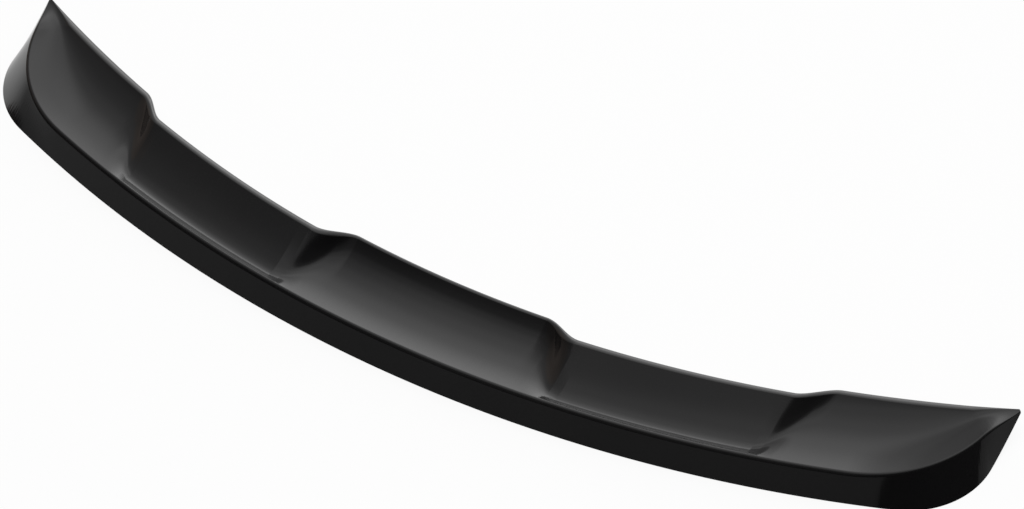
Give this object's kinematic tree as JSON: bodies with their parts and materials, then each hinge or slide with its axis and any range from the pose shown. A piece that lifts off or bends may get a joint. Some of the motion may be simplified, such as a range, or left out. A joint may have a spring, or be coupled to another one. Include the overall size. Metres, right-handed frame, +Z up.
{
  "type": "rear spoiler",
  "caption": "Low boot lid spoiler in gloss black plastic, with a curved lip, swept wing tips and scoops parted by raised bridges.",
  "frame": {"origin": "on the plane of the foot, below the middle of the part's plan", "axes": "+X across the car, +Y towards the front of the car, +Z up; the rear band faces -Y"},
  "size_m": [1.0894, 0.2398, 0.0412],
  "materials": {
    "gloss_black": "polished black moulded plastic"
  },
  "bodies": {
    "root": {"spoiler_shell": "gloss_black"}
  },
  "joints": []
}
